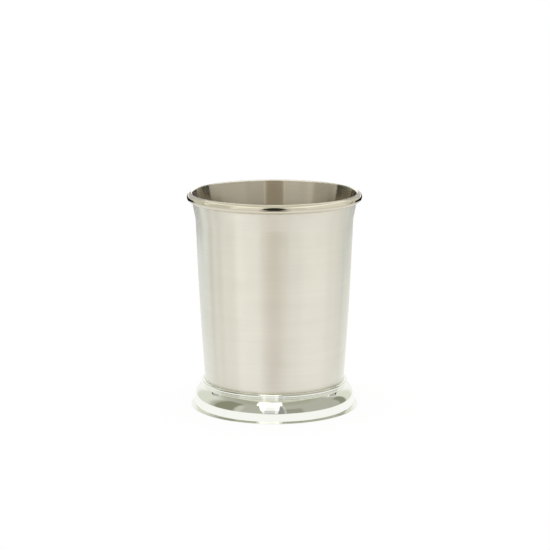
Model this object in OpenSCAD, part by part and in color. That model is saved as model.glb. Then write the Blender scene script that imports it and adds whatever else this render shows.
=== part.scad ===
// Julep cup: a drawn, tapered sheet cup with a half-round ring soldered round
// its flared lip, and a pressed hollow foot moulding soldered round its base
// and closed from below by a flat plate.
// Millimetres, +Z up. The origin is the centre of the face the cup stands on.

/* [Cup] */
// Height from the table to the top of the rim
cup_h = 110; // [90:1:140]
// How far the wall draws in on each side from the neck down to the foot
taper = 4.25; // [3:0.05:6]
// Thickness of the drawn sheet
sheet_t = 0.8; // [0.7:0.05:1.2]
// Air gap between the cup's floor and the base plate
floor_gap = 1.5; // [0.5:0.1:3]
// Outside radius of the corner between floor and wall
corner_r = 4; // [2:0.1:5]

/* [Lip] */
// Depth of the flared band, from the top of the rim down
flare_h = 15; // [11:0.5:20]
// Lean of the wall off plumb where the flare begins, in degrees
neck_lean = 1.9; // [1:0.1:3]
// Lean of the flared lip off plumb, in degrees
lip_lean = 11; // [6:0.5:14]
// Radius of the sweep from the wall into the lip
flare_r = 18; // [10:0.5:30]
// Rounding of the lip's inner top edge
lip_round = 0.6; // [0.3:0.05:0.7]

/* [Rim] */
// Outer diameter over the rim ring
rim_d = 88.5; // [84:0.5:94]
// Height of the rim ring's half-round section
bead_d = 4.4; // [3.4:0.1:5.4]

/* [Foot] */
// Height of the foot moulding
foot_h = 13.9; // [12:0.1:20]
// Thickness of the pressed sheet
foot_t = 0.4; // [0.35:0.05:0.5]
// Radius of the collar that grips the wall
collar_r = 0.95; // [0.8:0.05:1.1]
// Share of its radius by which the collar's centre stands off the wall
collar_share = 0.84; // [0.6:0.02:0.9]
// Radius of the groove below the collar
groove_r = 0.4; // [0.4:0.05:0.6]
// Gap between collar and round, which the groove bridges
groove_gap = 0.6; // [0.45:0.05:0.7]
// Radius of the big round between groove and skirt
round_r = 7.8; // [7:0.1:8.6]
// How far the skirt stands out from the wall above the foot
skirt_out = 5.45; // [5:0.05:5.9]
// How far the hem at the bottom stands out from the skirt
hem_out = 1.7; // [1.3:0.05:2]
// Radius of the cove between skirt and hem
cove_r = 0.3; // [0.2:0.05:0.5]
// Width of the flat ring that the cup stands on
land_w = 3.8; // [3:0.1:5]

/* [Base plate] */
// Thickness of the plate that closes the foot
plate_t = 0.8; // [0.5:0.05:1.2]
// Clearance between the plate's edge and the moulding round it
plate_gap = 0.15; // [0.05:0.05:0.5]

/* [Solder] */
// Width of the solder fillets round the rim and the collar
solder_w = 0.5; // [0.3:0.05:0.7]

/* [Hidden] */

turn_steps = 180;
arc_steps = 10;
wall_steps = 16;
fillet_steps = 3;

// Points on an arc about c from angle a0 to angle a1
function arc(c, r, a0, a1, steps = arc_steps) =
  [for (i = [0:steps]) let(a = a0 + (a1 - a0) * i / steps) c + r * [cos(a), sin(a)]];

// Direction of the line from p to q, in degrees
function heading(p, q) = atan2(q[1] - p[1], q[0] - p[0]);

// Way up a wall that leans outward by a degrees, and its outward normal
function up(a) = [sin(a), cos(a)];
function out(a) = [cos(a), -sin(a)];

// Where the line through p along the unit vector d leaves the circle (c, r)
function leaving(p, d, c, r) =
  let(w = p - c, b = w * d) p + (sqrt(b * b - w * w + r * r) - b) * d;

// Centre of the circle of radius g that touches the circles (c1, r1) and
// (c2, r2) from outside, on the left of the way from c1 to c2
function touching(c1, r1, c2, r2, g) =
  let(
    gap = norm(c2 - c1),
    along = (c2 - c1) / gap,
    run = ((r1 + g) * (r1 + g) - (r2 + g) * (r2 + g) + gap * gap) / (2 * gap),
    side = sqrt((r1 + g) * (r1 + g) - run * run)
  )
  c1 + run * along + side * [-along[1], along[0]];

// Angle that the width of a solder fillet covers on a round of radius r
function wetted(r) = solder_w / r * 180 / PI;

function backwards(points) = [for (i = [len(points) - 1:-1:0]) points[i]];

module turned(points) {
  rotate_extrude($fn = turn_steps) polygon(points);
}

// Rim ring: the outer face of the lip passes through the centre of its section
bead_r = bead_d / 2;
bead_c = [rim_d / 2 - bead_r, cup_h - bead_r];
crease = bead_c - bead_r * up(lip_lean);

// Neck: where the wall turns into the flare
neck_z = cup_h - flare_h;
flare_top_z = neck_z + flare_r * (sin(lip_lean) - sin(neck_lean));
flare_top = bead_c - (bead_c[1] - flare_top_z) / cos(lip_lean) * up(lip_lean);
flare_c = flare_top + flare_r * out(lip_lean);
neck = flare_c - flare_r * out(neck_lean);

// Wall: a parabola that leaves the neck along neck_lean and ends at the waist
waist = [neck[0] - taper, foot_h];
wall_h = neck_z - foot_h;
wall_bend = (neck[0] - wall_h * tan(neck_lean) - waist[0]) / (wall_h * wall_h);
function wall_point(d) = [neck[0] - d * tan(neck_lean) - wall_bend * d * d, neck_z - d];
function wall_lean(d) = atan(tan(neck_lean) + 2 * wall_bend * d);

// Seat: below the waist the wall runs straight down to the corner
seat_lean = wall_lean(wall_h);
function seat_point(z) = [waist[0] - (foot_h - z) * tan(seat_lean), z];
floor_z = foot_t + plate_t + floor_gap;
corner_c = seat_point(floor_z + corner_r) - [corner_r / cos(seat_lean), 0];

// One face of the cup's sheet, from the floor to the flare, k inside the outer face
function shell_face(k) = concat(
  [[0, floor_z + k]],
  arc(corner_c, corner_r - k, -90, -seat_lean),
  [for (i = [0:wall_steps]) let(d = wall_h * (1 - i / wall_steps))
    wall_point(d) - k * out(wall_lean(d))],
  [for (i = [1:arc_steps]) let(a = neck_lean + (lip_lean - neck_lean) * i / arc_steps)
    flare_c - (flare_r + k) * out(a)]
);

// Lip: its top follows the round of the rim ring, and its inner edge is rounded
lip_round_c = leaving(
  flare_top - (sheet_t - lip_round) * out(lip_lean), up(lip_lean),
  bead_c, bead_r - lip_round
);
lip_turn = heading(bead_c, lip_round_c);
function lip_edge() = concat(
  arc(bead_c, bead_r, 90 - lip_lean, lip_turn),
  arc(lip_round_c, lip_round, lip_turn, 180 - lip_lean)
);

// Foot moulding: collar, groove, round and skirt, each touching the next
collar_c = [waist[0] + collar_share * collar_r, foot_h - collar_r];
collar_top = leaving(seat_point(0), up(seat_lean), collar_c, collar_r);
collar_turn = heading(collar_c, collar_top);
skirt_r = waist[0] + skirt_out;
round_c = leaving(
  [skirt_r - round_r, foot_h], [0, -1],
  collar_c, collar_r + groove_gap + round_r
);
groove_c = touching(collar_c, collar_r, round_c, round_r, groove_r);

// Hem: the sheet folded flat on itself, so twice as thick, with a round edge
hem_c = [skirt_r + hem_out - foot_t, foot_t];
cove_c = [skirt_r + cove_r, 2 * foot_t + cove_r];
land_in = hem_c[0] - land_w;
plate_r = skirt_r - foot_t - plate_gap;

// One face of the moulding, from the groove to the hem, k inside the outer face
function foot_face(k) = concat(
  arc(round_c, round_r - k, heading(round_c, groove_c), 0),
  arc(cove_c, cove_r + k, 180, 270)
);

// Cup: floor, tapered wall and flared lip drawn from one sheet
module cup_shell() {
  color("#d8d2c3")
    turned(concat(shell_face(0), lip_edge(), backwards(shell_face(sheet_t))));
}

// Half-round ring round the lip
module rim_ring() {
  color("#e6e4dc")
    turned(concat(
      arc(bead_c, bead_r, -90 - lip_lean, wetted(bead_r) - 90 - lip_lean, fillet_steps),
      arc(bead_c, bead_r, wetted(bead_r) - 90 - lip_lean, 90 - lip_lean, 2 * arc_steps)
    ));
}

// Solder in the crease between the rim ring and the wall
module rim_solder() {
  color("#b9b6ac")
    turned(concat(
      [crease - solder_w * up(lip_lean)],
      arc(bead_c, bead_r, -90 - lip_lean, wetted(bead_r) - 90 - lip_lean, fillet_steps)
    ));
}

// Hollow foot moulding: collar, groove, round, skirt, hem and turned-in flange
module foot_ring() {
  inner = foot_face(foot_t);
  color("#dfe0d6")
    turned(concat(
      arc(collar_c, collar_r, collar_turn, collar_turn - wetted(collar_r), fillet_steps),
      arc(collar_c, collar_r, collar_turn - wetted(collar_r), heading(collar_c, groove_c)),
      arc(groove_c, groove_r, heading(groove_c, collar_c), 360 + heading(groove_c, round_c)),
      foot_face(0),
      arc(hem_c, foot_t, 90, -90),
      [[land_in, 0], [land_in, foot_t]],
      backwards(inner),
      [seat_point(inner[0][1])]
    ));
}

// Solder between the collar and the wall
module foot_solder() {
  color("#b9b6ac")
    turned(concat(
      [waist],
      arc(collar_c, collar_r, collar_turn, collar_turn - wetted(collar_r), fillet_steps)
    ));
}

// Plate that closes the foot, lying on the turned-in flange
module base_plate() {
  color("#c9c8c0")
    translate([0, 0, foot_t]) cylinder(h = plate_t, r = plate_r, $fn = turn_steps);
}

// Solder in the corner between the plate and the edge of the flange
module base_solder() {
  leg = foot_t / 2;
  color("#b9b6ac")
    turned([[land_in, foot_t], [land_in, foot_t - leg], [land_in - leg, foot_t]]);
}

cup_shell();
rim_ring();
rim_solder();
foot_ring();
foot_solder();
base_plate();
base_solder();
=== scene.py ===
"""Julep cup, dressed: satin drawn cup, polished rim ring, polished foot, closing plate.

Everything stands in the CAD frame, in metres: +Z up, the cup's axis on Z and the
table at z = 0. The cup's classes hold their sizes in millimetres, as a drawing would.
"""

import logging
import math
from dataclasses import dataclass, field
from enum import Enum
from typing import Any

import bpy
import numpy as np
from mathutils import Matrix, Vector


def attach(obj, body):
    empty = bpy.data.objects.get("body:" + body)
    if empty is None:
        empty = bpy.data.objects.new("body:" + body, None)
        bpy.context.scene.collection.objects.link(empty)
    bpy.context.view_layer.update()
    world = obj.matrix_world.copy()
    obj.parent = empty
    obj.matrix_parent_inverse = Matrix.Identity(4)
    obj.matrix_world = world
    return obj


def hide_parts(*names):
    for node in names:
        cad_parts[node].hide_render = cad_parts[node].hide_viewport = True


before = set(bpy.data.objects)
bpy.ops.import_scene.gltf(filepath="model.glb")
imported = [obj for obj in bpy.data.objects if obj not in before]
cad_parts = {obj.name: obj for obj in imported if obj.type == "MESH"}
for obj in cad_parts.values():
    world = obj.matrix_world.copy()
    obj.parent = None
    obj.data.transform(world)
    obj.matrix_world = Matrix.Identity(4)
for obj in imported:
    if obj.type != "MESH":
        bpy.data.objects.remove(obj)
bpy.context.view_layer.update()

log = logging.getLogger("julep_cup")

MM = 0.001

# Faces round the axis, and steps of a small arc
SEGMENTS = 360
SMALL_ARC_STEPS = 6

# Edges bent by more than this are shaded sharp
SHARP_EDGE = math.radians(38)

# Millimetres below which two points are one, and a radius is none
SAME_POINT = 1e-5
ON_AXIS = 1e-9

# What a noise gives in the mean
NOISE_MEAN = 0.5

# Turn that sends the satin's streaks of light across its lines, up the wall
QUARTER_TURN = 0.25

# Sockets of a Mix node that mixes colours
MIX_SHARE, MIX_FIRST, MIX_SECOND, MIX_RESULT = 0, 6, 7, 2

Colour = tuple[float, float, float]
Inputs = dict[str | int, Any]


def arc(centre: np.ndarray, radius: float, start: float, end: float, steps: int) -> np.ndarray:
    """Points on a circular arc: centre + radius * (cos a, sin a), a from start to end.

    Args:
        centre: The arc's centre as (radius, height).
        radius: The arc's radius.
        start: First angle in degrees.
        end: Last angle in degrees.
        steps: Number of equal steps.

    Returns:
        The points, one row each.
    """
    angle = np.radians(np.linspace(start, end, steps + 1))
    return np.asarray(centre) + radius * np.stack([np.cos(angle), np.sin(angle)], axis=1)


def level_line(start: float, end: float, height: float, steps: int) -> np.ndarray:
    """Returns equal steps along a level line, from one radius to another."""
    return np.stack([np.linspace(start, end, steps + 1), np.full(steps + 1, height)], axis=1)


def heading(origin: np.ndarray, target: np.ndarray) -> float:
    """Returns the direction from origin to target in degrees."""
    return math.degrees(math.atan2(target[1] - origin[1], target[0] - origin[0]))


def up(lean: float) -> np.ndarray:
    """Returns the unit vector up a wall that leans outward by lean degrees."""
    return np.array([math.sin(math.radians(lean)), math.cos(math.radians(lean))])


def out(lean: float) -> np.ndarray:
    """Returns the outward normal of a wall that leans outward by lean degrees."""
    return np.array([math.cos(math.radians(lean)), -math.sin(math.radians(lean))])


def leaving(start: np.ndarray, way: np.ndarray, centre: np.ndarray, radius: float) -> np.ndarray:
    """Where a line leaves a circle: start + t * way, at the larger root t.

    Args:
        start: A point of the line inside the circle or before it.
        way: The line's direction, a unit vector.
        centre: The circle's centre.
        radius: The circle's radius.

    Returns:
        The point.
    """
    gap = start - centre
    along = gap @ way
    return start + (math.sqrt(along * along - gap @ gap + radius * radius) - along) * way


def touching(
    first: np.ndarray, first_r: float, second: np.ndarray, second_r: float, radius: float
) -> np.ndarray:
    """Centre of a circle that touches two circles from outside.

    The triangle of the three centres has sides first_r + radius, second_r + radius
    and the gap between the two given centres. The result lies on the left of the
    way from the first to the second.

    Args:
        first: Centre of the first circle.
        first_r: Radius of the first circle.
        second: Centre of the second circle.
        second_r: Radius of the second circle.
        radius: Radius of the touching circle.

    Returns:
        The touching circle's centre.
    """
    gap = float(np.linalg.norm(second - first))
    along = (second - first) / gap
    reach, other = first_r + radius, second_r + radius
    run = (reach * reach - other * other + gap * gap) / (2 * gap)
    rise = math.sqrt(reach * reach - run * run)
    return first + run * along + rise * np.array([-along[1], along[0]])


def joined(*runs: np.ndarray) -> np.ndarray:
    """Joins stretches of an outline and drops points that fall on the one before.

    Args:
        runs: Stretches in order, each a list of (radius, height) points.

    Returns:
        One outline without repeated points.
    """
    points = np.concatenate([np.atleast_2d(run) for run in runs])
    step = np.linalg.norm(points - np.roll(points, 1, axis=0), axis=1)
    return points[step > SAME_POINT]


def joined_open(*runs: np.ndarray) -> np.ndarray:
    """Joins stretches of an outline that doesn't close on itself.

    Args:
        runs: Stretches in order, each a list of (radius, height) points.

    Returns:
        One outline without repeated points.
    """
    points = np.concatenate([np.atleast_2d(run) for run in runs])
    step = np.linalg.norm(np.diff(points, axis=0), axis=1)
    return points[np.concatenate([[True], step > SAME_POINT])]


def anticlockwise(outline: np.ndarray) -> np.ndarray:
    """Turns an outline round if it runs clockwise, as the sign of its area tells.

    Args:
        outline: A closed outline.

    Returns:
        The outline, anticlockwise.
    """
    after = np.roll(outline, -1, axis=0)
    area = np.sum(outline[:, 0] * after[:, 1] - outline[:, 1] * after[:, 0])
    return outline if area > 0 else outline[::-1]


def turned(outline: np.ndarray) -> tuple[np.ndarray, np.ndarray, np.ndarray]:
    """Turns an outline round Z: point (r, z) goes to (r cos t, r sin t, z), t round the circle.

    An outline whose first and last points lie on the axis gets one vertex at each
    of them, a pole. Any other outline closes on itself. The outline runs
    anticlockwise in the (r, z) plane, which makes the faces point outwards.

    Args:
        outline: The outline in millimetres.

    Returns:
        Vertices in metres, faces of four corners, and faces of three corners.
    """
    has_poles = abs(outline[0, 0]) < ON_AXIS
    rings = outline[1:-1] if has_poles else outline
    turn = np.arange(SEGMENTS) * 2 * math.pi / SEGMENTS
    circle = np.stack([np.cos(turn), np.sin(turn)], axis=1)
    flat = rings[:, None, :1] * circle[None, :, :]
    height = np.broadcast_to(rings[:, None, 1:], flat.shape[:2] + (1,))
    vertices = np.concatenate([flat, height], axis=2).reshape(-1, 3)
    row = np.arange(len(rings) - 1 if has_poles else len(rings))[:, None]
    here = np.arange(SEGMENTS)[None, :]
    after = (here + 1) % SEGMENTS
    next_row = (row + 1) % len(rings)
    quads = np.stack(
        np.broadcast_arrays(
            row * SEGMENTS + here, row * SEGMENTS + after,
            next_row * SEGMENTS + after, next_row * SEGMENTS + here,
        ),
        axis=-1,
    ).reshape(-1, 4)
    triangles = np.empty((0, 3), dtype=int)
    if has_poles:
        low, high = len(vertices), len(vertices) + 1
        vertices = np.vstack([vertices, [0, 0, outline[0, 1]], [0, 0, outline[-1, 1]]])
        last = (len(rings) - 1) * SEGMENTS
        around, beyond = here[0], after[0]
        triangles = np.vstack([
            np.stack([np.full(SEGMENTS, low), beyond, around], axis=1),
            np.stack([np.full(SEGMENTS, high), last + around, last + beyond], axis=1),
        ])
    return vertices * MM, quads, triangles


def mesh_object(
    name: str, vertices: np.ndarray, quads: np.ndarray, triangles: np.ndarray
) -> bpy.types.Object:
    """Puts arrays of vertices and faces into a new smooth-shaded object.

    Args:
        name: Name of the object and its mesh.
        vertices: Vertex places in metres.
        quads: Faces of four corners.
        triangles: Faces of three corners.

    Returns:
        The object, linked to the scene and standing at the origin.
    """
    corners = np.concatenate([quads.ravel(), triangles.ravel()]).astype(np.int32)
    totals = np.concatenate([np.full(len(quads), 4), np.full(len(triangles), 3)])
    starts = np.concatenate([[0], np.cumsum(totals)[:-1]]).astype(np.int32)
    mesh = bpy.data.meshes.new(name)
    mesh.vertices.add(len(vertices))
    mesh.vertices.foreach_set("co", vertices.astype(np.float32).ravel())
    mesh.loops.add(len(corners))
    mesh.loops.foreach_set("vertex_index", corners)
    mesh.polygons.add(len(totals))
    mesh.polygons.foreach_set("loop_start", starts)
    mesh.polygons.foreach_set("use_smooth", np.ones(len(totals), dtype=bool))
    mesh.update(calc_edges=True)
    mesh.validate()
    mesh.set_sharp_from_angle(angle=SHARP_EDGE)
    piece = bpy.data.objects.new(name, mesh)
    bpy.context.collection.objects.link(piece)
    return piece


class Value:
    """A socket that carries a number, on which Python's operators add Math nodes."""

    def __init__(self, graph: "Graph", socket: bpy.types.NodeSocket) -> None:
        """Wraps a socket of the graph."""
        self.graph = graph
        self.socket = socket

    def __add__(self, other: "Number") -> "Value":
        """Returns self + other."""
        return self.graph.maths("ADD", self, other)

    def __radd__(self, other: "Number") -> "Value":
        """Returns other + self."""
        return self.graph.maths("ADD", other, self)

    def __sub__(self, other: "Number") -> "Value":
        """Returns self - other."""
        return self.graph.maths("SUBTRACT", self, other)

    def __rsub__(self, other: "Number") -> "Value":
        """Returns other - self."""
        return self.graph.maths("SUBTRACT", other, self)

    def __mul__(self, other: "Number") -> "Value":
        """Returns self * other."""
        return self.graph.maths("MULTIPLY", self, other)

    def __rmul__(self, other: "Number") -> "Value":
        """Returns other * self."""
        return self.graph.maths("MULTIPLY", other, self)

    def __neg__(self) -> "Value":
        """Returns -self."""
        return self.graph.maths("MULTIPLY", self, -1.0)

    def __abs__(self) -> "Value":
        """Returns the size of self without its sign."""
        return self.graph.maths("ABSOLUTE", self)

    def rising(self, start: float, end: float) -> "Value":
        """Returns a smooth step from 0 at start to 1 at end."""
        return self.graph.ranged(self, start, end)


Number = Value | float


class Graph:
    """The nodes of one material or of the world."""

    def __init__(self, owner: bpy.types.Material | bpy.types.World) -> None:
        """Empties the owner's node tree.

        Args:
            owner: The material or world whose nodes are to be made.
        """
        owner.use_nodes = True
        self.tree = owner.node_tree
        self.tree.nodes.clear()

    def node(
        self, kind: str, settings: dict[str, Any] | None = None, inputs: Inputs | None = None
    ) -> bpy.types.Node:
        """Adds a node, sets it up and fills its sockets.

        Args:
            kind: The node's type without the leading ShaderNode.
            settings: Properties of the node, set before its sockets.
            inputs: A constant, Value or socket for each named or numbered input.

        Returns:
            The new node.
        """
        node = self.tree.nodes.new("ShaderNode" + kind)
        for name, setting in (settings or {}).items():
            setattr(node, name, setting)
        for key, given in (inputs or {}).items():
            given = given.socket if isinstance(given, Value) else given
            if isinstance(given, bpy.types.NodeSocket):
                self.tree.links.new(given, node.inputs[key])
            else:
                node.inputs[key].default_value = given
        return node

    def maths(self, operation: str, *terms: Number) -> Value:
        """Adds a Math node.

        Args:
            operation: Blender's name of the operation.
            terms: One or two numbers or Values.

        Returns:
            The result.
        """
        node = self.node("Math", {"operation": operation}, dict(enumerate(terms)))
        return Value(self, node.outputs[0])

    def ranged(self, value: Value, start: float, end: float) -> Value:
        """Adds a smooth Map Range node from 0 at start to 1 at end.

        Args:
            value: The number that is mapped.
            start: Where the step begins.
            end: Where the step ends.

        Returns:
            The mapped number.
        """
        node = self.node(
            "MapRange", {"interpolation_type": "SMOOTHSTEP"},
            {"Value": value, "From Min": start, "From Max": end},
        )
        return Value(self, node.outputs["Result"])

    def blend(self, share: Number, first: Any, second: Any) -> bpy.types.NodeSocket:
        """Adds a Mix node for colours.

        Args:
            share: Share of the second colour.
            first: A colour or a socket.
            second: A colour or a socket.

        Returns:
            The mixed colour's socket.
        """
        rgba = [(*c, 1.0) if isinstance(c, tuple) else c for c in (first, second)]
        inputs = {MIX_SHARE: share, MIX_FIRST: rgba[0], MIX_SECOND: rgba[1]}
        return self.node("Mix", {"data_type": "RGBA"}, inputs).outputs[MIX_RESULT]

    def place(self) -> tuple[Value, Value, Value]:
        """Returns x, y and z in metres, read from Object coordinates."""
        return self.split(self.node("TexCoord").outputs["Object"])

    def split(self, vector: bpy.types.NodeSocket) -> tuple[Value, Value, Value]:
        """Returns the three parts of a vector."""
        x, y, z = self.node("SeparateXYZ", inputs={0: vector}).outputs
        return Value(self, x), Value(self, y), Value(self, z)

    def packed(self, x: Number, y: Number, z: Number) -> bpy.types.NodeSocket:
        """Returns a vector made of three parts."""
        return self.node("CombineXYZ", inputs={0: x, 1: y, 2: z}).outputs[0]

    def noise(self, vector: bpy.types.NodeSocket, detail: float) -> Value:
        """Adds a Noise Texture whose scale is already in its vector.

        Args:
            vector: Where the noise is read, in cells.
            detail: Octaves beyond the first.

        Returns:
            The noise, NOISE_MEAN in the mean.
        """
        node = self.node("TexNoise", None, {"Vector": vector, "Scale": 1.0, "Detail": detail})
        return Value(self, node.outputs[0])

    def lathe_lines(self, width: float, length: float, detail: float = 2.0) -> Value:
        """Noise drawn out round the axis, as a brush held against a turning cup leaves it.

        The lines lie where radius + height is constant, so they run round the wall
        and in rings over the floor.

        Args:
            width: Width of a line in millimetres.
            length: Length of a line in millimetres.
            detail: Octaves beyond the first.

        Returns:
            The noise, NOISE_MEAN in the mean.
        """
        x, y, z = self.place()
        radius = self.maths("SQRT", x * x + y * y)
        along, across = 1 / (length * MM), 1 / (width * MM)
        return self.noise(self.packed(x * along, y * along, (radius + z) * across), detail)

    def clouds(self, size: float, detail: float = 2.0) -> Value:
        """Even noise with patches of one size.

        Args:
            size: Size of a patch in millimetres.
            detail: Octaves beyond the first.

        Returns:
            The noise, NOISE_MEAN in the mean.
        """
        x, y, z = self.place()
        share = 1 / (size * MM)
        return self.noise(self.packed(x * share, y * share, z * share), detail)

    def bump(self, height: Value, distance: float) -> bpy.types.NodeSocket:
        """Adds a Bump node.

        Args:
            height: The relief, from 0 to 1.
            distance: Height of the relief in millimetres.

        Returns:
            The bent normal's socket.
        """
        return self.node("Bump", None, {"Height": height, "Distance": distance * MM}).outputs[0]


@dataclass(frozen=True)
class MetalFinish:
    """A bare metal surface. Each kind of finish draws its own marks on it.

    Marks are measured in millimetres.
    """

    name: str
    colour: Colour
    roughness: float

    def material(self) -> bpy.types.Material:
        """The finish as a material: metal, with the marks of its kind.

        Returns:
            The material.
        """
        made = bpy.data.materials.new(self.name)
        graph = Graph(made)
        inputs: Inputs = {"Metallic": 1.0, "Base Color": (*self.colour, 1.0)}
        inputs.update(self.marks(graph))
        shader = graph.node("BsdfPrincipled", None, inputs)
        graph.node("OutputMaterial", None, {"Surface": shader.outputs[0]})
        made.diffuse_color = (*self.colour, 1.0)
        return made

    def marks(self, graph: Graph) -> Inputs:
        """Returns the sockets that this finish sets or varies."""
        return {"Roughness": self.roughness}

    def tinted(self, graph: Graph, share: Number, amount: float) -> bpy.types.NodeSocket:
        """Blends the metal's colour towards a darker one.

        Args:
            graph: The material's nodes.
            share: Where the darker tone lies.
            amount: How much darker it is at the most.

        Returns:
            The colour's socket.
        """
        darker = tuple(part * (1 - amount) for part in self.colour)
        return graph.blend(share, self.colour, darker)


@dataclass(frozen=True)
class SatinFinish(MetalFinish):
    """Satin metal, brushed round the cup's axis while it turned.

    Its broad passes are broad_width and broad_length times as large as its lines.
    """

    spread: float = 1.0
    line_width: float = 0.35
    line_length: float = 26.0
    line_depth: float = 0.0006
    line_tone: float = 0.03
    line_limits: tuple[float, float] = (0.3, 0.7)
    line_dulling: float = 0.06
    fine_share: float = 0.7
    broad_width: float = 7.0
    broad_length: float = 4.0
    handled_size: float = 18.0
    handled_limits: tuple[float, float] = (0.42, 0.75)
    handled_dulling: float = 0.03

    def marks(self, graph: Graph) -> Inputs:
        """Fine brush lines, broader passes of the brush and faint handling.

        Args:
            graph: The material's nodes.

        Returns:
            Base colour, roughness, normal and the spread across the lines.
        """
        width, length = self.line_width, self.line_length
        fine = graph.lathe_lines(width, length, detail=3.0)
        broad = graph.lathe_lines(width * self.broad_width, length * self.broad_length)
        handled = graph.clouds(self.handled_size, detail=3.0).rising(*self.handled_limits)
        lines = fine * self.fine_share + broad * (1 - self.fine_share)
        dulled = (lines - NOISE_MEAN) * self.line_dulling + handled * self.handled_dulling
        return {
            "Base Color": self.tinted(graph, lines.rising(*self.line_limits), self.line_tone),
            "Roughness": dulled + self.roughness,
            "Normal": graph.bump(fine, self.line_depth),
            "Anisotropic": self.spread,
            "Anisotropic Rotation": QUARTER_TURN,
        }


@dataclass(frozen=True)
class PolishedFinish(MetalFinish):
    """Buffed metal with hairline scratches and the faint waves of pressed sheet."""

    wave: float = 0.0015
    wave_size: float = 14.0
    scratch_width: float = 0.16
    scratch_length: float = 60.0
    scratch_limits: tuple[float, float] = (0.5, 0.8)
    scratch_dulling: float = 0.04
    spot_size: float = 9.0
    spot_limits: tuple[float, float] = (0.5, 0.8)
    spot_tone: float = 0.05
    spot_dulling: float = 0.03

    def marks(self, graph: Graph) -> Inputs:
        """Buffing marks round the axis, a slow waviness and dull spots.

        Args:
            graph: The material's nodes.

        Returns:
            Base colour, roughness and normal.
        """
        buffed = graph.lathe_lines(self.scratch_width, self.scratch_length)
        scratches = buffed.rising(*self.scratch_limits)
        spots = graph.clouds(self.spot_size, detail=4.0).rising(*self.spot_limits)
        dulled = scratches * self.scratch_dulling + spots * self.spot_dulling
        return {
            "Base Color": self.tinted(graph, spots, self.spot_tone),
            "Roughness": dulled + self.roughness,
            "Normal": graph.bump(graph.clouds(self.wave_size, detail=1.0), self.wave),
        }


@dataclass(frozen=True)
class SolderFinish(MetalFinish):
    """Filed and buffed solder: a little pitted and uneven."""

    pit_size: float = 0.35
    pit_depth: float = 0.02
    pit_dulling: float = 0.2
    patch_size: float = 4.0
    patch_limits: tuple[float, float] = (0.35, 0.7)
    patch_tone: float = 0.15

    def marks(self, graph: Graph) -> Inputs:
        """Small pits and a patchy tone.

        Args:
            graph: The material's nodes.

        Returns:
            Base colour, roughness and normal.
        """
        pits = graph.clouds(self.pit_size, detail=3.0)
        patches = graph.clouds(self.patch_size).rising(*self.patch_limits)
        return {
            "Base Color": self.tinted(graph, patches, self.patch_tone),
            "Roughness": (pits - NOISE_MEAN) * self.pit_dulling + self.roughness,
            "Normal": graph.bump(pits, self.pit_depth),
        }


SATIN = SatinFinish("satin_cup", (0.85, 0.82, 0.735), 0.35)
# The inside is the same sheet as the outside, its colour darkened to about half: painted shade of the
# cup's hollow
SHADED_INSIDE_SATIN = SatinFinish("satin_inside_painted_shade", (0.43, 0.39, 0.32), 0.15, line_tone=0.05)
RING_POLISH = PolishedFinish("polished_ring", (0.70, 0.65, 0.54), 0.07)
FOOT_POLISH = PolishedFinish("polished_foot", (0.92, 0.93, 0.87), 0.04)
PLATE_SATIN = SatinFinish("turned_plate", (0.74, 0.73, 0.68), 0.32, spread=0.8, line_width=0.5)
SOLDER = SolderFinish("buffed_solder", (0.70, 0.69, 0.63), 0.25)


@dataclass(frozen=True)
class Lining:
    """A second finish, from one point of a piece's outline to its end."""

    finish: MetalFinish
    start: int


@dataclass
class TurnedAssembly:
    """Pieces turned round the cup's axis, each of which stands for a CAD node."""

    made: list[bpy.types.Object] = field(default_factory=list, kw_only=True)

    def piece(
        self,
        node: str,
        outline: np.ndarray,
        finish: MetalFinish,
        slot: str,
        lining: Lining | None = None,
    ) -> None:
        """Makes one piece, dresses it and puts it in its CAD node's place.

        Args:
            node: The CAD node that the piece stands for.
            outline: Its outline in millimetres.
            finish: Its finish.
            slot: The record's material slot; not used.
            lining: A second finish for the last stretch of an outline that ends on the axis.
        """
        piece = mesh_object(node + "_dressed", *turned(outline))
        for coat in (finish, lining.finish) if lining else (finish,):
            piece.data.materials.append(bpy.data.materials.get(coat.name) or coat.material())
        if lining:
            index = np.zeros(len(piece.data.polygons), dtype=np.int32)
            index[(lining.start - 1) * SEGMENTS:] = 1
            # The last two rings of faces close the poles, first the one underneath
            index[-2 * SEGMENTS:-SEGMENTS] = 0
            piece.data.polygons.foreach_set("material_index", index)
        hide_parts(node)
        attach(piece, "root")
        self.made.append(piece)


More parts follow.
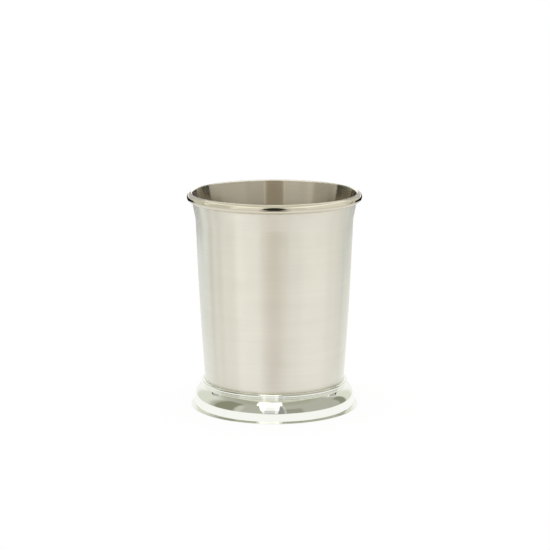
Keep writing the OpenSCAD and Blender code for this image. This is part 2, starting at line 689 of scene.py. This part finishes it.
@dataclass
class CupBody(TurnedAssembly):
    """The cup: floor, corner, tapered wall and flared lip, drawn from one sheet."""

    height: float = 110.0
    taper: float = 4.25
    sheet: float = 0.8
    floor_z: float = 2.7
    corner_r: float = 4.0
    flare_h: float = 15.0
    neck_lean: float = 1.9
    lip_lean: float = 11.0
    flare_r: float = 18.0
    lip_round: float = 0.6
    rim_r: float = 44.25
    bead_r: float = 2.2
    foot_h: float = 13.9
    wall_steps: int = 59
    floor_steps: int = 15
    bend_steps: int = 20
    lip_steps: int = 12
    lip_round_steps: int = 16

    def __post_init__(self) -> None:
        """Works out the centres and turning points from the sizes."""
        self.bead_c = np.array([self.rim_r - self.bead_r, self.height - self.bead_r])
        self.neck_z = self.height - self.flare_h
        rise = math.sin(math.radians(self.lip_lean)) - math.sin(math.radians(self.neck_lean))
        self.flare_top_z = self.neck_z + self.flare_r * rise
        drop = (self.bead_c[1] - self.flare_top_z) / math.cos(math.radians(self.lip_lean))
        self.flare_top = self.bead_c - drop * up(self.lip_lean)
        self.flare_c = self.flare_top + self.flare_r * out(self.lip_lean)
        self.neck = self.flare_c - self.flare_r * out(self.neck_lean)
        self.waist = np.array([self.neck[0] - self.taper, self.foot_h])
        self.wall_h = self.neck_z - self.foot_h
        self.slope = math.tan(math.radians(self.neck_lean))
        self.bend = (self.neck[0] - self.wall_h * self.slope - self.waist[0]) / self.wall_h**2
        self.seat_lean = float(self.wall_lean(np.array(self.wall_h)))
        seat = self.seat_point(self.floor_z + self.corner_r)
        inward = self.corner_r / math.cos(math.radians(self.seat_lean))
        self.corner_c = seat - np.array([inward, 0])

    def wall_lean(self, drop: np.ndarray) -> np.ndarray:
        """Returns the wall's lean in degrees at a drop below the neck."""
        return np.degrees(np.arctan(self.slope + 2 * self.bend * drop))

    def seat_point(self, height: float) -> np.ndarray:
        """Returns the point of the straight wall below the waist at a height."""
        inward = (self.foot_h - height) * math.tan(math.radians(self.seat_lean))
        return np.array([self.waist[0] - inward, height])

    def face(self, inset: float) -> np.ndarray:
        """One face of the sheet, from the floor's centre to the top of the flare.

        The wall follows r = neck - drop * slope - bend * drop^2, each point moved
        inwards along its normal by inset.

        Args:
            inset: Distance from the outer face.

        Returns:
            The face's outline.
        """
        drop = self.wall_h * (1 - np.linspace(0, 1, self.wall_steps + 1))
        lean = np.radians(self.wall_lean(drop))
        wall = np.stack([
            self.neck[0] - drop * self.slope - self.bend * drop**2 - inset * np.cos(lean),
            self.neck_z - drop + inset * np.sin(lean),
        ], axis=1)
        floor = level_line(0, self.corner_c[0], self.floor_z + inset, self.floor_steps)
        corner = arc(self.corner_c, self.corner_r - inset, -90, -self.seat_lean, self.bend_steps)
        lean_start, lean_end = 180 - self.neck_lean, 180 - self.lip_lean
        flare = arc(self.flare_c, self.flare_r + inset, lean_start, lean_end, self.bend_steps)
        return joined_open(floor, corner, wall, flare)

    def lip_edge(self) -> np.ndarray:
        """The lip's top: it follows the ring's round and ends in a rounded inner edge.

        Returns:
            The outline from the outer face of the lip to its inner face.
        """
        base = self.flare_top - (self.sheet - self.lip_round) * out(self.lip_lean)
        centre = leaving(base, up(self.lip_lean), self.bead_c, self.bead_r - self.lip_round)
        turn = heading(self.bead_c, centre)
        return joined_open(
            arc(self.bead_c, self.bead_r, 90 - self.lip_lean, turn, self.lip_steps),
            arc(centre, self.lip_round, turn, 180 - self.lip_lean, self.lip_round_steps),
        )

    def build(self) -> None:
        """Makes the drawn cup."""
        outside = joined_open(self.face(0), self.lip_edge())
        outline = joined_open(outside, self.face(self.sheet)[::-1])
        # The inside's darker colour is painted shade
        lining = Lining(SHADED_INSIDE_SATIN, len(outside) - 1)
        self.piece("cup_shell", outline, SATIN, "satin_steel", lining)


@dataclass
class RimRing(TurnedAssembly):
    """The half-round ring round the lip, and the solder in the crease below it."""

    cup: CupBody
    solder_w: float = 0.5
    ring_steps: int = 64

    def build(self) -> None:
        """Makes the ring and its solder fillet."""
        cup = self.cup
        start = -90 - cup.lip_lean
        wet = math.degrees(self.solder_w / cup.bead_r)
        crease = cup.bead_c - cup.bead_r * up(cup.lip_lean)
        seam = arc(cup.bead_c, cup.bead_r, start, start + wet, SMALL_ARC_STEPS)
        rest = arc(cup.bead_c, cup.bead_r, start + wet, 90 - cup.lip_lean, self.ring_steps)
        self.piece("rim_ring", joined(seam, rest), RING_POLISH, "ring_steel")
        fillet = joined(crease - self.solder_w * up(cup.lip_lean), seam[::-1])
        self.piece("rim_solder", anticlockwise(fillet), SOLDER, "solder")


@dataclass
class FootRing(TurnedAssembly):
    """The pressed foot moulding, and the solder that holds it to the wall."""

    cup: CupBody
    sheet: float = 0.4
    collar_r: float = 0.95
    collar_share: float = 0.84
    groove_r: float = 0.4
    groove_gap: float = 0.6
    round_r: float = 7.8
    skirt_out: float = 5.45
    hem_out: float = 1.7
    cove_r: float = 0.3
    land_w: float = 3.8
    solder_w: float = 0.5
    collar_steps: int = 28
    groove_steps: int = 14
    round_steps: int = 80
    cove_steps: int = 14
    hem_steps: int = 24

    def __post_init__(self) -> None:
        """Works out the centres of the moulding's rounds."""
        waist, foot_h = self.cup.waist[0], self.cup.foot_h
        stand_off = self.collar_share * self.collar_r
        self.collar_c = np.array([waist + stand_off, foot_h - self.collar_r])
        way = up(self.cup.seat_lean)
        self.collar_top = leaving(self.cup.seat_point(0), way, self.collar_c, self.collar_r)
        self.skirt_r = waist + self.skirt_out
        reach = self.collar_r + self.groove_gap + self.round_r
        above = np.array([self.skirt_r - self.round_r, foot_h])
        self.round_c = leaving(above, np.array([0.0, -1.0]), self.collar_c, reach)
        self.groove_c = touching(
            self.collar_c, self.collar_r, self.round_c, self.round_r, self.groove_r
        )
        self.hem_c = np.array([self.skirt_r + self.hem_out - self.sheet, self.sheet])
        self.cove_c = np.array([self.skirt_r + self.cove_r, 2 * self.sheet + self.cove_r])
        self.land_in = self.hem_c[0] - self.land_w

    def face(self, inset: float) -> np.ndarray:
        """One face of the moulding, from the groove down to the hem.

        Args:
            inset: Distance from the outer face.

        Returns:
            The face's outline.
        """
        start = heading(self.round_c, self.groove_c)
        return joined_open(
            arc(self.round_c, self.round_r - inset, start, 0, self.round_steps),
            arc(self.cove_c, self.cove_r + inset, 180, 270, self.cove_steps),
        )

    def build(self) -> None:
        """Makes the moulding and its solder fillet."""
        turn = heading(self.collar_c, self.collar_top)
        wet = math.degrees(self.solder_w / self.collar_r)
        collar_end = heading(self.collar_c, self.groove_c)
        groove_start = heading(self.groove_c, self.collar_c)
        groove_end = 360 + heading(self.groove_c, self.round_c)
        inner = self.face(self.sheet)
        seam = arc(self.collar_c, self.collar_r, turn, turn - wet, SMALL_ARC_STEPS)
        outline = joined(
            seam,
            arc(self.collar_c, self.collar_r, turn - wet, collar_end, self.collar_steps),
            arc(self.groove_c, self.groove_r, groove_start, groove_end, self.groove_steps),
            self.face(0),
            arc(self.hem_c, self.sheet, 90, -90, self.hem_steps),
            np.array([[self.land_in, 0.0], [self.land_in, self.sheet]]),
            inner[::-1],
            self.cup.seat_point(inner[0, 1]),
        )
        self.piece("foot_ring", anticlockwise(outline), FOOT_POLISH, "polished_steel")
        fillet = joined(self.cup.waist, seam)
        self.piece("foot_solder", anticlockwise(fillet), SOLDER, "solder")


@dataclass
class BasePlate(TurnedAssembly):
    """The plate that closes the foot, and the solder round it."""

    foot: FootRing
    thickness: float = 0.8
    gap: float = 0.15
    edge_r: float = 0.12
    plate_steps: int = 11
    dish_steps: int = 10

    def build(self) -> None:
        """Makes the plate, its edges eased, and its solder fillet."""
        foot, ease = self.foot, self.edge_r
        low, high = foot.sheet, foot.sheet + self.thickness
        flat = foot.skirt_r - foot.sheet - self.gap - ease
        plate = joined_open(
            level_line(0, flat, low, self.plate_steps),
            arc(np.array([flat, low + ease]), ease, -90, 0, SMALL_ARC_STEPS),
            arc(np.array([flat, high - ease]), ease, 0, 90, SMALL_ARC_STEPS),
            level_line(flat, 0, high, self.plate_steps),
        )
        self.piece("base_plate", plate, PLATE_SATIN, "plate_steel")
        leg = foot.sheet / 2
        corner = np.array([foot.land_in, foot.sheet])
        dish = arc(corner - np.array([leg, leg]), leg, 0, 90, self.dish_steps)
        self.piece("base_solder", anticlockwise(joined(corner, dish[::-1])), SOLDER, "solder")


# Where a range of directions starts or ends without an edge
NO_START, NO_END = -90, 180


class Side(Enum):
    """Which side of the camera's direction a panel of the room stands on."""

    LEFT = -1
    RIGHT = 1
    BOTH = 0


@dataclass(frozen=True)
class Panel:
    """A soft-edged patch of the room, given by directions as seen from the cup.

    Azimuth runs from the camera's direction, elevation from the horizon, in degrees.
    A range that starts at NO_START or below, or ends at NO_END, has no edge there.
    """

    name: str
    side: Side
    azimuth: tuple[float, float]
    elevation: tuple[float, float]
    colour: Colour
    soft: float = 4.0

    def share(self, azimuth: Value, elevation: Value) -> Value:
        """How much of each direction the panel fills.

        Args:
            azimuth: Azimuth of the direction, positive to the right.
            elevation: Elevation of the direction.

        Returns:
            1 inside the panel, 0 outside, smooth across its edges.
        """
        turn = abs(azimuth) if self.side is Side.BOTH else azimuth * float(self.side.value)
        result: Number = 1.0
        for value, (low, high) in ((turn, self.azimuth), (elevation, self.elevation)):
            if low > NO_START:
                result = result * value.rising(low - self.soft, low + self.soft)
            if high < NO_END:
                result = result * (1 - value.rising(high - self.soft, high + self.soft))
        return result


WHITE: Colour = (1.0, 1.0, 1.0)
ROOM: Colour = (0.46, 0.46, 0.40)

# Each panel covers those before it
PANELS = (
    Panel("right low front", Side.RIGHT, (5, 42), (NO_START, 30), (0.33, 0.33, 0.27)),
    Panel("left pale corner", Side.LEFT, (48, 60), (NO_START, 38), (0.58, 0.58, 0.51)),
    Panel("left side wall", Side.LEFT, (106, NO_END), (NO_START, 44), (0.72, 0.74, 0.66), 8.0),
    Panel("right side wall", Side.RIGHT, (124, NO_END), (NO_START, 48), (0.75, 0.76, 0.68)),
    Panel("backdrop", Side.BOTH, (150, NO_END), (NO_START, 28), (0.96, 0.96, 0.95), 8.0),
    Panel("left dark", Side.LEFT, (60, 95), (NO_START, 52), (0.27, 0.27, 0.20)),
    Panel("right dark", Side.RIGHT, (108, 124), (NO_START, 33), (0.27, 0.28, 0.22), 3.0),
    Panel("dim ceiling", Side.BOTH, (NO_START, NO_END), (58, NO_END), (0.41, 0.41, 0.33), 6.0),
    Panel("overhead", Side.BOTH, (NO_START, NO_END), (81, NO_END), (0.48, 0.49, 0.41)),
    Panel("gap for the lens", Side.BOTH, (NO_START, 15), (-20, 50), (0.03, 0.03, 0.02), 3.0),
)


@dataclass(frozen=True)
class Lamp:
    """A flat lamp or lit card. Polished metal shows it as an even patch, if mirrored.

    Places and sizes are in metres. The light goes to every piece, or only to those
    that are named.
    """

    name: str
    place: tuple[float, float, float]
    aim: tuple[float, float, float]
    size: tuple[float, float]
    level: float
    colour: Colour = WHITE
    only: tuple[str, ...] = ()
    mirrored: bool = True

    def build(self) -> None:
        """Makes the lamp. Its power gives every square of it the same level at any size."""
        data = bpy.data.lights.new(self.name, "AREA")
        data.shape = "RECTANGLE"
        data.size, data.size_y = self.size
        data.energy = self.level * math.pi * self.size[0] * self.size[1]
        data.color = self.colour
        lamp = bpy.data.objects.new(self.name, data)
        lamp.location = self.place
        way = Vector(self.aim) - Vector(self.place)
        lamp.rotation_euler = way.to_track_quat("-Z", "Y").to_euler()
        lamp.visible_camera = False
        lamp.visible_glossy = self.mirrored
        bpy.context.collection.objects.link(lamp)
        if self.only:
            lit = bpy.data.collections.new(self.name + "_lights")
            for piece in self.only:
                lit.objects.link(bpy.data.objects[piece])
            lamp.light_linking.receiver_collection = lit


WARM: Colour = (1.0, 0.9, 0.72)
COOL: Colour = (0.62, 0.8, 1.0)
ROSE: Colour = (1.0, 0.93, 0.9)
CUP_PIECES = ("cup_shell_dressed", "rim_ring_dressed", "rim_solder_dressed")
FOOT_PIECES = ("foot_ring_dressed", "foot_solder_dressed")
SHELL = ("cup_shell_dressed",)
RING = ("rim_ring_dressed",)

# The strip and its parts stand for one long bright window, which the polished foot mirrors
LAMPS = (
    Lamp("soft overhead", (0.0, 0.0, 1.1), (0.0, 0.0, 0.0), (0.9, 0.9), 3.5, mirrored=False),
    Lamp("left box", (-0.65, -0.383, 0.33), (0.0, 0.0, 0.06), (1.51, 1.34), 0.49, only=CUP_PIECES),
    Lamp("right box", (0.70, -0.28, 0.33), (0.0, 0.0, 0.06), (2.05, 1.34), 0.485, only=CUP_PIECES),
    Lamp("ring's top box", (0.0, 0.0, 0.90), (0.0, 0.0, 0.0), (1.8, 1.8), 0.36, only=RING),
    Lamp("front fill", (0.0, -0.60, 0.22), (0.0, 0.0, 0.06), (0.34, 0.7), 0.50, WARM, SHELL),
    Lamp("light into the cup", (0.0, 0.0, 0.15), (0.0, 0.0, 0.0), (0.08, 0.08), 1.0, only=SHELL),
    Lamp("light off the table", (0.0, -0.27, 0.002), (0.0, -0.27, 1.0), (0.11, 0.27), 0.95, only=SHELL),
    Lamp("left cool card", (-0.27, 0.20, 0.045), (0.0, 0.0, 0.045), (0.22, 0.08), 0.5, COOL, SHELL),
    Lamp("right cool card", (0.27, 0.20, 0.045), (0.0, 0.0, 0.045), (0.22, 0.08), 0.3, COOL, SHELL),
    Lamp("rear box", (0.0, 0.62, 0.20), (0.0, 0.0, 0.108), (0.7, 0.36), 0.45, only=CUP_PIECES),
    Lamp("low left card", (-0.20, -0.17, 0.04), (0.0, 0.0, 0.04), (0.30, 0.07), 0.45, ROSE, SHELL),
    Lamp("low right card", (0.20, -0.17, 0.04), (0.0, 0.0, 0.04), (0.30, 0.07), 0.3, ROSE, SHELL),
    Lamp(
        "strip", (-0.048, -0.089, 0.719), (-0.048, 0.111, 0.605), (0.245, 0.765), 0.97,
        only=FOOT_PIECES,
    ),
    Lamp(
        "strip's lower part", (-0.048, -0.344, 0.272), (-0.048, -0.144, 0.158), (0.19, 0.265), 0.97,
        only=FOOT_PIECES,
    ),
    Lamp(
        "strip's top", (-0.03, 0.37, 0.80), (-0.03, 0.37, 0.0), (0.165, 0.60), 0.97,
        only=FOOT_PIECES,
    ),
    Lamp(
        "strip's foot", (-0.048, -0.455, 0.079), (-0.048, -0.255, -0.035), (0.18, 0.18), 0.62,
        only=FOOT_PIECES,
    ),
    Lamp(
        "strip's spill", (0.075, -0.50, 0.30), (0.0, 0.0, 0.30), (0.14, 0.60), 0.28,
        only=FOOT_PIECES,
    ),
)


@dataclass(frozen=True)
class Flag:
    """A black card bent round the cup's axis, which only the metal shows.

    Azimuths are in degrees from the camera's direction, heights and radius in
    millimetres. A lamp of the card's size, just in front of it, makes it paler for
    the pieces that are named.
    """

    name: str
    azimuth: tuple[float, float]
    height: tuple[float, float]
    paler_for: tuple[str, ...]
    level: float
    radius: float = 112.0
    across: int = 24
    tall: int = 2

    def build(self) -> None:
        """Makes the card, which only mirrors show, and the lamp in front of it."""
        card = self.card()
        card.data.materials.append(self.black())
        card.visible_camera = card.visible_diffuse = card.visible_shadow = False
        self.lamp().build()

    def card(self) -> bpy.types.Object:
        """The bent card: its point (a, z) lies at (radius sin a, -radius cos a, z).

        Returns:
            The card.
        """
        grid = (self.tall, self.across)
        turn = np.radians(np.linspace(*self.azimuth, self.across))
        height = np.linspace(*self.height, self.tall)
        x = np.broadcast_to(self.radius * np.sin(turn), grid)
        y = np.broadcast_to(-self.radius * np.cos(turn), grid)
        z = np.broadcast_to(height[:, None], grid)
        vertices = np.stack([x, y, z], axis=-1).reshape(-1, 3) * MM
        row, column = np.arange(self.tall - 1)[:, None], np.arange(self.across - 1)[None, :]
        here = (row * self.across + column).reshape(-1, 1)
        quads = here + np.array([0, 1, self.across + 1, self.across])
        return mesh_object(self.name, vertices, quads, np.empty((0, 3), dtype=int))

    def black(self) -> bpy.types.Material:
        """A black that sends back no light.

        Returns:
            The material.
        """
        made = bpy.data.materials.new(self.name)
        graph = Graph(made)
        black = graph.node("Emission", None, {"Color": (0.0, 0.0, 0.0, 1.0), "Strength": 1.0})
        graph.node("OutputMaterial", None, {"Surface": black.outputs[0]})
        return made

    def lamp(self) -> Lamp:
        """A flat lamp across the card's two upright edges, as tall as the card.

        Returns:
            The lamp.
        """
        first, last = np.radians(self.azimuth)
        half, middle = (last - first) / 2, (last + first) / 2
        reach = self.radius * math.cos(half) * MM
        size = (2 * self.radius * math.sin(half) * MM, float(np.ptp(self.height)) * MM)
        level = float(np.mean(self.height)) * MM
        place = (reach * math.sin(middle), -reach * math.cos(middle), level)
        aim = (0.0, 0.0, level)
        return Lamp(self.name + " lamp", place, aim, size, self.level, only=self.paler_for)


FLAGS = (
    Flag("left low flag", (-150.0, -110.0), (80.0, 109.0), FOOT_PIECES + SHELL, 0.45),
    Flag("right low flag", (110.0, 154.0), (82.0, 110.0), FOOT_PIECES + SHELL, 0.45),
    Flag("left high flag", (-156.0, -118.0), (117.0, 190.0), RING + FOOT_PIECES, 0.60),
    Flag("right high flag", (124.0, 156.0), (117.0, 190.0), RING + FOOT_PIECES, 0.60),
)


@dataclass(frozen=True)
class Studio:
    """The white round table, the room and the lamps and black cards round the cup.

    Lengths are in metres. Mirrors see painted shade on the table: its shine falls off
    with distance to a darker tone, and a painted dark patch lies on the camera's side.
    """

    table_r: float = 0.42
    table_t: float = 0.004
    table_matt: Colour = (0.9, 0.9, 0.9)
    own_white: float = 0.91
    near_r: float = 0.08
    # Painted shade that mirrors see on the table: the darker tone far from the cup, and a painted dark
    # patch on the camera's side with its edges
    far_table_shade: Colour = (0.68, 0.68, 0.66)
    front_table_shade: Colour = (0.12, 0.11, 0.09)
    front_shade_start: tuple[float, float] = (0.12, 0.16)
    front_shade_side: tuple[float, float] = (0.035, 0.07)
    fill: Colour = (0.6, 0.6, 0.59)

    def build(self) -> None:
        """Makes the table, the surroundings, the lamps and the black cards."""
        self.table()
        self.surroundings()
        for item in LAMPS + FLAGS:
            item.build()

    def table(self) -> bpy.types.Object:
        """The disc under the cup.

        Returns:
            The disc.
        """
        edge, low = self.table_r / MM, -self.table_t / MM
        outline = np.array([[0, low], [edge, low], [edge, 0], [0, 0]])
        disc = mesh_object("table", *turned(outline))
        disc.data.materials.append(self.white())
        return disc

    def white(self) -> bpy.types.Material:
        """The table's white: matt, and mostly shining by itself as the camera sees it.

        The matt rest takes the cup's soft shadow. Mirrors see only the shine, with
        painted shade: a fall-off with distance and a painted dark patch in front.

        Returns:
            The material.
        """
        made = bpy.data.materials.new("white_table")
        graph = Graph(made)
        path = graph.node("LightPath")
        seen = Value(graph, path.outputs["Is Camera Ray"])
        mirrored = Value(graph, path.outputs["Is Glossy Ray"])
        matt = graph.node("BsdfDiffuse", None, {"Color": (*self.table_matt, 1.0)})
        x, y, _ = graph.place()
        # Painted shade: mirrors see the table darken away from the cup, and a painted dark patch in
        # front of it
        far = graph.maths("SQRT", x * x + y * y).rising(self.near_r, self.table_r)
        front = (-y).rising(*self.front_shade_start) * (1 - abs(x).rising(*self.front_shade_side))
        shine = graph.blend(mirrored * far, WHITE, self.far_table_shade)
        shine = graph.blend(mirrored * front, shine, self.front_table_shade)
        shining = graph.node("Emission", None, {"Color": shine, "Strength": 1.0})
        share = seen * self.own_white + mirrored
        mixed = graph.node("MixShader", None, {0: share, 1: matt.outputs[0], 2: shining.outputs[0]})
        graph.node("OutputMaterial", None, {"Surface": mixed.outputs[0]})
        return made

    def surroundings(self) -> None:
        """The world: white to the camera, the room to the metal, a plain fill to the table."""
        world = bpy.data.worlds.new("room")
        bpy.context.scene.world = world
        graph = Graph(world)
        x, y, z = graph.split(graph.node("TexCoord").outputs["Generated"])
        azimuth = graph.maths("ARCTAN2", x, -y) * math.degrees(1)
        elevation = graph.maths("ARCSINE", z) * math.degrees(1)
        room: Any = ROOM
        for panel in PANELS:
            room = graph.blend(panel.share(azimuth, elevation), room, panel.colour)
        path = graph.node("LightPath")
        metal = graph.blend(Value(graph, path.outputs["Is Glossy Ray"]), self.fill, room)
        colour = graph.blend(Value(graph, path.outputs["Is Camera Ray"]), metal, WHITE)
        background = graph.node("Background", None, {"Color": colour, "Strength": 1.0})
        graph.node("OutputWorld", None, {"Surface": background.outputs[0]})


@dataclass(frozen=True)
class Viewpoint:
    """The camera of the photograph, on the cup's -Y side.

    Places are in metres, angles in degrees, lens and sensor in millimetres.
    """

    distance: float = 1.035
    height: float = 0.2697
    pitch: float = 11.07
    yaw: float = 0.0166
    lens: float = 135.69
    sensor: float = 36.0

    def build(self) -> None:
        """Makes the camera and gives it to the scene."""
        data = bpy.data.cameras.new("camera")
        data.lens = self.lens
        data.sensor_width = self.sensor
        camera = bpy.data.objects.new("camera", data)
        camera.location = (0.0, -self.distance, self.height)
        camera.rotation_euler = (math.radians(90 - self.pitch), 0.0, -math.radians(self.yaw))
        bpy.context.collection.objects.link(camera)
        bpy.context.scene.camera = camera


def report(pieces: list[bpy.types.Object]) -> None:
    """Logs each piece's faces and its size in millimetres.

    Args:
        pieces: The pieces of the cup.
    """
    for piece in pieces:
        places = np.empty(len(piece.data.vertices) * 3, dtype=np.float32)
        piece.data.vertices.foreach_get("co", places)
        size = np.ptp(places.reshape(-1, 3), axis=0) / MM
        log.info("%s: %d faces, %.2f x %.2f x %.2f mm", piece.name, len(piece.data.polygons), *size)


def main() -> None:
    """Builds the cup, the studio and the camera."""
    logging.basicConfig(level=logging.INFO, format="%(name)s %(message)s")
    scene = bpy.context.scene
    scene.view_settings.view_transform = "Standard"
    cup = CupBody()
    foot = FootRing(cup)
    assemblies = (cup, RimRing(cup), foot, BasePlate(foot))
    for assembly in assemblies:
        assembly.build()
        report(assembly.made)
    Studio().build()
    Viewpoint().build()


if __name__ == "__main__":
    main()
